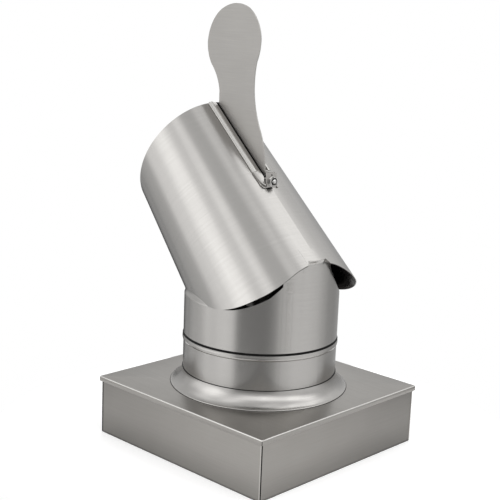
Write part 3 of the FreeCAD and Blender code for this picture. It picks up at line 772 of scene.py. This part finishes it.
def make_rail_strips():
    """Crowned top of each rail's hem painted bright as a highlight, the flat tail below it, and a near-black
    strip of painted shade in the gap between rail and vane.
    """
    # Sections: beside the middle plane, proud of the hood
    hem = [(9.3, 1.6), (9.3, 3.4), (9.7, 3.8), (10.4, 3.95), (11.4, 3.85), (12.6, 3.5), (13.8, 2.95),
           (14.7, 2.2), (15.1, 1.4), (15.0, 0.7)]
    # Painted shade: near-black strip in the gap between rail and vane
    gap = [(2.95, 0.2), (2.95, 1.75), (0.7, 1.75), (0.7, 0.2)]
    # Tail: place along the hood, outer and inner edge
    tail = [(98.6, 15.0, 4.6), (94.0, 14.9, 4.6), (89.0, 14.6, 4.6), (85.0, 14.2, 4.8), (82.0, 13.8, 7.6),
            (79.0, 13.2, 8.5), (76.5, 12.3, 8.5), (74.5, 11.0, 8.5), (73.2, 9.8, 8.5)]
    under, shoulder, top, bevel = 1.6, 2.9, 3.2, 0.6
    hem_start, hem_end = 98.0, 226.2
    gap_start, gap_end = 89.0, 226.0
    for side, tag in ((-1.0, "near"), (1.0, "far")):
        side_hem = [(side * y, proud) for y, proud in hem]
        side_gap = [(side * y, proud) for y, proud in gap]
        ridge_strip(tag + "_hem_roll", RAIL_HIGHLIGHT_EDGE, side_hem, hem_start, hem_end)
        ridge_strip(tag + "_slot_gap_shade", TUBE_GAP_SHADE, side_gap, gap_start, gap_end)
        sections = []
        for along, outer, inner in tail:
            section = ((outer, under), (outer, shoulder), (outer - bevel, top), (inner, top), (inner, under))
            sections.append((along, [(side * y, proud) for y, proud in section]))
        ridge_loft(tag + "_rail_tail", WELD, sections, sharp=40.0)


def make_lug_foot():
    """Near-black strip of painted shadow under the lug's foot, on the near side."""
    section = [(-8.5, 0.1), (-8.5, 0.4), (0.5, 0.4), (0.5, 0.1)]
    ridge_strip("lug_foot_shadow", TUBE_GAP_SHADE, section, 69.0, 71.1, steps=1)


def make_bolt_face():
    """Rounded end of the bolt's head in a ring, with a near-black ring of painted shade as the groove
    between them.
    """
    face_x, bolt_z = 15.8 * MM, 350.25 * MM
    sides = 32

    def around_bolt(name, finish, profile):
        """Disc with the given profile in millimetres: radius, distance out from the bolt's face."""
        angles = [2.0 * math.pi * i / sides for i in range(sides)]
        rows = [[in_head(face_x + out * MM, radius * MM * math.cos(a), bolt_z + radius * MM * math.sin(a))
                 for a in angles] for radius, out in profile]
        loft(name, "head", finish, rows, sharp=50.0)

    dome_r, dome_foot, dome_height = 3.3, 0.4, 2.0
    dome = [(dome_r, -dome_foot), (dome_r, dome_foot)]
    dome += [(dome_r * math.cos(a), dome_foot + dome_height * math.sin(a))
             for a in (0.3, 0.6, 0.9, 1.2, 1.4)]
    around_bolt("bolt_dome", FASTENER, dome)
    # Painted shade: near-black ring as the groove round the dome
    around_bolt("bolt_groove_shade", FASTENER_GAP_SHADE, [(4.9, -0.3), (4.9, 0.05), (3.0, 0.05)])


# Camera

CAMERA_PLACE = Vector((954.016, -1024.94, 559.492)) * MM
CAMERA_YAW = math.radians(43.671)
CAMERA_PITCH = math.radians(12.184)
CAMERA_ROLL = math.radians(2.214)
FOCAL_PIXELS = 1096.337
PHOTO_PIXELS = 500.0


def make_camera():
    forward = Vector((-math.sin(CAMERA_YAW) * math.cos(CAMERA_PITCH),
                      math.cos(CAMERA_YAW) * math.cos(CAMERA_PITCH),
                      -math.sin(CAMERA_PITCH)))
    level = forward.cross(Vector((0.0, 0.0, 1.0))).normalized()
    upright = level.cross(forward)
    across = math.cos(CAMERA_ROLL) * level + math.sin(CAMERA_ROLL) * upright
    above = -math.sin(CAMERA_ROLL) * level + math.cos(CAMERA_ROLL) * upright
    data = bpy.data.cameras.new("camera")
    data.sensor_width = 36.0
    data.lens = FOCAL_PIXELS * data.sensor_width / PHOTO_PIXELS
    data.clip_start = 0.05
    camera = bpy.data.objects.new("camera", data)
    bpy.context.scene.collection.objects.link(camera)
    turn = Matrix((across, above, -forward)).transposed().to_4x4()
    camera.matrix_world = Matrix.Translation(CAMERA_PLACE) @ turn
    bpy.context.scene.camera = camera


# Floor and light

FLOOR_R = 0.36
FLOOR_SINK = 0.2 * MM
FLOOR_PAPER = (0.92, 0.92, 0.92, 1.0)
FLOOR_GLOW = 0.22
WHITE = (1.0, 1.0, 1.0, 1.0)

# The room's light level, and what two rings of soft light add to it or take away:
# azimuth in degrees, strength
ROOM_LEVEL = 0.8

# About the tubes: a lit wall left of the camera, dark ground in front of them, a soft wall on the right
LOW_RING = [
    (-180, -0.2), (-155, 0.2), (-132, 0.0), (-100, 0.45), (-88, 0.35), (-74, -0.45), (-42, -0.5),
    (-15, 0.05), (22, 0.25), (55, -0.05), (95, -0.35), (125, -0.25), (148, -0.45), (166, -0.15),
]

# About the hood's axis: the large window on the left, a thin one beside it, a broad one on the right
HIGH_RING = [
    (-175, -0.15), (-150, -0.25), (-126, 0.5), (-104, 0.8), (-82, 1.3), (-57, 0.5), (-48, 0.9), (-32, 0.1),
    (-14, 0.05), (-2, 0.5), (6, 0.3), (18, 0.95), (38, 1.1), (54, 0.45), (90, 0.05), (130, -0.15),
    (155, -0.3),
]

# Height of each ring's middle over its level plane, and half its height, in degrees
LOW_BAND = (-15.0, 24.0)
HIGH_BAND = (27.0, 17.0)

# Soft panels, two behind the object and a row of three from the camera's side to the right:
# azimuth, elevation, half width and half height in degrees, strength
PANELS = [
    (133.0, 24.0, 12.0, 8.0, 0.55),
    (-150.0, 46.0, 12.0, 10.0, 0.50),
    (-50.0, 34.0, 18.0, 9.0, 1.30),
    (-12.0, 34.0, 18.0, 9.0, 1.30),
    (26.0, 34.0, 18.0, 9.0, 1.30),
]

# Where a light's soft edge starts and ends, in shares of its half size
SOFT_EDGE = (0.35, 1.65)


def seen_by(tree, *rays):
    """1 for rays of the given kinds."""
    light_path = add_node(tree, "ShaderNodeLightPath")
    total = light_path.outputs[rays[0]]
    for ray in rays[1:]:
        total = add_math(tree, "MAXIMUM", total, light_path.outputs[ray])
    return total


def make_floor():
    """Round paper sheet under the object, white wherever it is seen straight or mirrored."""
    corners = 96
    angles = [math.radians(360.0 * i / corners) for i in range(corners)]
    mesh = bpy.data.meshes.new("studio_floor")
    edge = [on_circle(FLOOR_R, angle, -FLOOR_SINK) for angle in angles]
    mesh.from_pydata(edge, [], [tuple(range(corners))])
    floor = bpy.data.objects.new("studio_floor", mesh)
    bpy.context.scene.collection.objects.link(floor)
    material = bpy.data.materials.new("studio_floor")
    material.use_nodes = True
    tree = material.node_tree
    tree.nodes.clear()
    output = add_node(tree, "ShaderNodeOutputMaterial")
    diffuse = add_node(tree, "ShaderNodeBsdfDiffuse")
    diffuse.inputs["Color"].default_value = FLOOR_PAPER
    glow = add_node(tree, "ShaderNodeEmission")
    seen = seen_by(tree, "Is Camera Ray", "Is Transmission Ray", "Is Glossy Ray")
    link(tree, add_math(tree, "MULTIPLY", seen, FLOOR_GLOW), glow.inputs["Strength"])
    both = add_node(tree, "ShaderNodeAddShader")
    link(tree, diffuse.outputs["BSDF"], both.inputs[0])
    link(tree, glow.outputs["Emission"], both.inputs[1])
    link(tree, both.outputs["Shader"], output.inputs["Surface"])
    mesh.materials.append(material)


def soft_edge(tree, away, half_size):
    """1 near the middle of a light, fading to 0 across its soft edge."""
    fade = add_node(tree, "ShaderNodeMapRange", interpolation_type="SMOOTHSTEP")
    fade.inputs["To Min"].default_value = 1.0
    fade.inputs["To Max"].default_value = 0.0
    link(tree, away, fade.inputs["Value"])
    for label, share in zip(("From Min", "From Max"), SOFT_EDGE):
        link(tree, add_math(tree, "MULTIPLY", half_size, share), fade.inputs[label])
    return fade.outputs["Result"]


def add_dot(tree, first, second):
    dot = add_node(tree, "ShaderNodeVectorMath", operation="DOT_PRODUCT")
    link(tree, first, dot.inputs[0])
    link(tree, second, dot.inputs[1])
    return dot.outputs["Value"]


def soft_panel_group():
    """Light from one soft-edged rectangle of the sky: its strength along a direction."""
    group = bpy.data.node_groups.new("soft_panel", "ShaderNodeTree")
    group_sockets(
        group,
        [("Direction", "NodeSocketVector", None),
         ("Across", "NodeSocketVector", None),
         ("Upright", "NodeSocketVector", None),
         ("Facing", "NodeSocketVector", None),
         ("Half Width", "NodeSocketFloat", 0.2),
         ("Half Height", "NodeSocketFloat", 0.2),
         ("Strength", "NodeSocketFloat", 1.0)],
        [("Light", "NodeSocketFloat")])
    given = add_node(group, "NodeGroupInput").outputs
    result = add_node(group, "NodeGroupOutput")
    facing = add_dot(group, given["Direction"], given["Facing"])
    total = add_math(group, "MULTIPLY", add_math(group, "GREATER_THAN", facing, 0.0), given["Strength"])
    for axis, size in (("Across", "Half Width"), ("Upright", "Half Height")):
        away = add_math(group, "ABSOLUTE", add_dot(group, given["Direction"], given[axis]))
        total = add_math(group, "MULTIPLY", total, soft_edge(group, away, given[size]))
    link(group, total, result.inputs["Light"])
    return group


def panel_light(tree, group, direction, azimuth, elevation, half_width, half_height, strength):
    """Light of one soft panel along the direction; angles in degrees."""
    az, el = math.radians(azimuth), math.radians(elevation)
    facing = Vector((math.cos(az) * math.cos(el), math.sin(az) * math.cos(el), math.sin(el)))
    across = Vector((-math.sin(az), math.cos(az), 0.0))
    panel = add_node(tree, "ShaderNodeGroup", node_tree=group)
    panel.inputs["Across"].default_value = across
    panel.inputs["Upright"].default_value = facing.cross(across)
    panel.inputs["Facing"].default_value = facing
    panel.inputs["Half Width"].default_value = math.sin(math.radians(half_width))
    panel.inputs["Half Height"].default_value = math.sin(math.radians(half_height))
    panel.inputs["Strength"].default_value = strength
    link(tree, direction, panel.inputs["Direction"])
    return panel.outputs["Light"]


def light_ring(tree, direction, turn, band, stops):
    """Light that changes with azimuth about the Z that turn gives, faded out above and below its band."""
    level, half_height = (math.sin(math.radians(angle)) for angle in band)
    local = add_node(tree, "ShaderNodeVectorRotate", rotation_type="EULER_XYZ", invert=True)
    local.inputs["Rotation"].default_value = turn
    link(tree, direction, local.inputs["Vector"])
    parts = add_node(tree, "ShaderNodeSeparateXYZ")
    link(tree, local.outputs["Vector"], parts.inputs["Vector"])
    azimuth = add_math(tree, "ARCTAN2", parts.outputs["Y"], parts.outputs["X"])
    curve = add_node(tree, "ShaderNodeFloatCurve")
    link(tree, add_math(tree, "MULTIPLY_ADD", azimuth, 0.5 / math.pi, 0.5), curve.inputs["Value"])
    curve.mapping.use_clip = False
    line = curve.mapping.curves[0]
    closed = stops + [(stops[0][0] + 360.0, stops[0][1])]
    places = [((angle + 180.0) / 360.0, strength) for angle, strength in closed]
    line.points[0].location = places[0]
    line.points[-1].location = places[-1]
    for place in places[1:-1]:
        line.points.new(*place)
    for point in line.points:
        point.handle_type = "AUTO_CLAMPED"
    curve.mapping.update()
    away = add_math(tree, "ABSOLUTE", add_math(tree, "SUBTRACT", parts.outputs["Z"], level))
    return add_math(tree, "MULTIPLY", curve.outputs["Value"], soft_edge(tree, away, half_height))


def make_world():
    """Studio: a level room with rings of soft light about the object, and plain white for the camera."""
    world = bpy.data.worlds.new("studio")
    bpy.context.scene.world = world
    world.use_nodes = True
    tree = world.node_tree
    tree.nodes.clear()
    output = add_node(tree, "ShaderNodeOutputWorld")
    direction = add_node(tree, "ShaderNodeTexCoord").outputs["Generated"]
    low = light_ring(tree, direction, (0.0, 0.0, 0.0), LOW_BAND, LOW_RING)
    high = light_ring(tree, direction, ALONG_HOOD, HIGH_BAND, HIGH_RING)
    total = add_math(tree, "ADD", add_math(tree, "ADD", low, high), ROOM_LEVEL)
    group = soft_panel_group()
    for panel in PANELS:
        total = add_math(tree, "ADD", total, panel_light(tree, group, direction, *panel))
    room = add_node(tree, "ShaderNodeBackground")
    white = add_node(tree, "ShaderNodeBackground")
    for shader in (room, white):
        shader.inputs["Color"].default_value = WHITE
    link(tree, add_math(tree, "MAXIMUM", total, 0.0), room.inputs["Strength"])
    choose = add_node(tree, "ShaderNodeMixShader")
    link(tree, seen_by(tree, "Is Camera Ray", "Is Transmission Ray"), choose.inputs["Fac"])
    link(tree, room.outputs["Background"], choose.inputs[1])
    link(tree, white.outputs["Background"], choose.inputs[2])
    link(tree, choose.outputs["Shader"], output.inputs["Surface"])


finish_frame()
make_collar()
make_lid()
make_bead()
make_corner_seams()
make_lap_seams()
make_peak_weld()
make_seam_weld("near_seam_weld", -1.0)
make_seam_weld("far_seam_weld", 1.0)
make_rail_strips()
make_lug_foot()
make_bolt_face()
make_camera()
make_floor()
make_world()

bpy.context.scene.view_settings.view_transform = "Standard"
